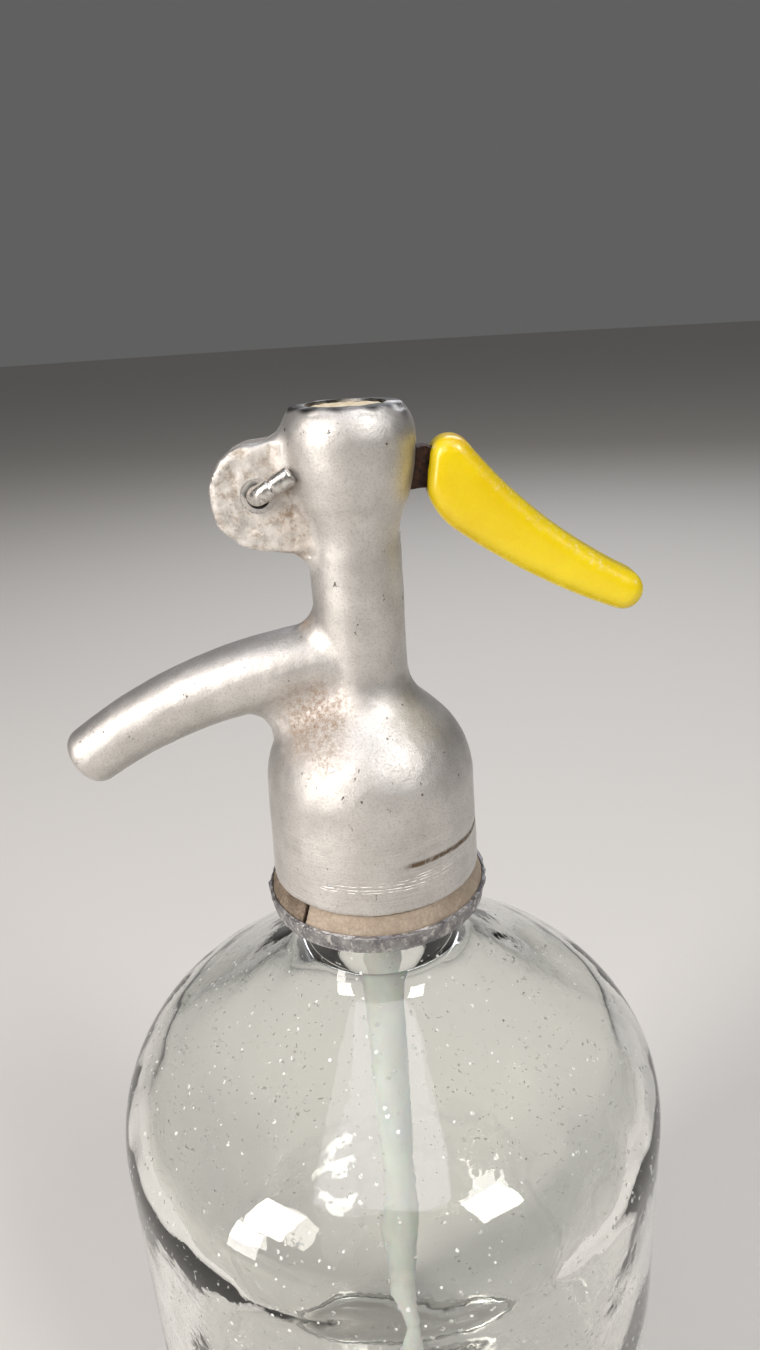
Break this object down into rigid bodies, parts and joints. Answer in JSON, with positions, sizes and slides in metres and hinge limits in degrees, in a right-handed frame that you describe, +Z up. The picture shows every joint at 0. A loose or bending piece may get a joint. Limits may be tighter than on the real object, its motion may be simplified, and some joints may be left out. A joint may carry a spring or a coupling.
{
  "type": "soda siphon",
  "caption": "Refillable soda siphon: thick clear glass bottle with a cast metal head, curved spout, spring valve and a hinged thumb lever with a yellow grip.",
  "frame": {"origin": "centre of the bottle's foot, on the surface it stands on", "axes": "+Z up along the bottle's axis, spout towards -X, lever's grip towards +X, in the XZ plane"},
  "size_m": [0.107, 0.107, 0.3145],
  "materials": {
    "clear_glass": "clear thick bottle glass",
    "lead_ring": "dull dark soft metal with bright nicks",
    "collar": "dusty oxidised metal",
    "rubber": "matt black rubber",
    "cast_aluminium": "satin worn casting",
    "plug": "cream moulded plug",
    "brass": "turned brass",
    "spring_steel": "drawn wire",
    "fibre": "red fibre washer",
    "tube_plastic": "milky flexible tube",
    "pin_metal": "bent soft wire",
    "rusty_steel": "brown rusted steel",
    "yellow_plastic": "glossy moulded grip"
  },
  "bodies": {
    "siphon": {"bottle": "clear_glass", "neck_ring": "lead_ring", "collar_half_left": "collar", "collar_half_right": "collar", "neck_gasket": "rubber", "head_casting": "cast_aluminium", "top_plug": "plug", "valve_seat": "brass", "stem_packing": "rubber", "gland_nut": "brass", "return_spring": "spring_steel", "tube_nipple": "brass", "nipple_seal": "fibre", "dip_tube": "tube_plastic", "pivot_pin": "pin_metal"},
    "valve": {"valve_stem": "brass", "valve_washer": "rubber", "valve_disc": "brass", "valve_nut": "brass", "spring_plate": "brass", "stem_cap": "brass"},
    "lever": {"lever_arm": "rusty_steel", "lever_grip": "yellow_plastic"}
  },
  "joints": [
    {"name": "lever_pivot", "type": "hinge", "parent": "siphon", "child": "lever", "pos_m": [-0.01445, 0, 0.30185], "axis": [0, 1, 0], "range_deg": [0, 12], "stiffness_Nm_per_rad": 0.9, "springref_deg": -12.03},
    {"name": "valve_slide", "type": "slide", "parent": "siphon", "child": "valve", "axis": [0, 0, -1], "range_m": [0, 0.0031], "deforming": ["return_spring"]}
  ],
  "couplings": [
    {"joint": "valve_slide", "follows": "lever_pivot", "m_per_rad": 0.01445}
  ]
}
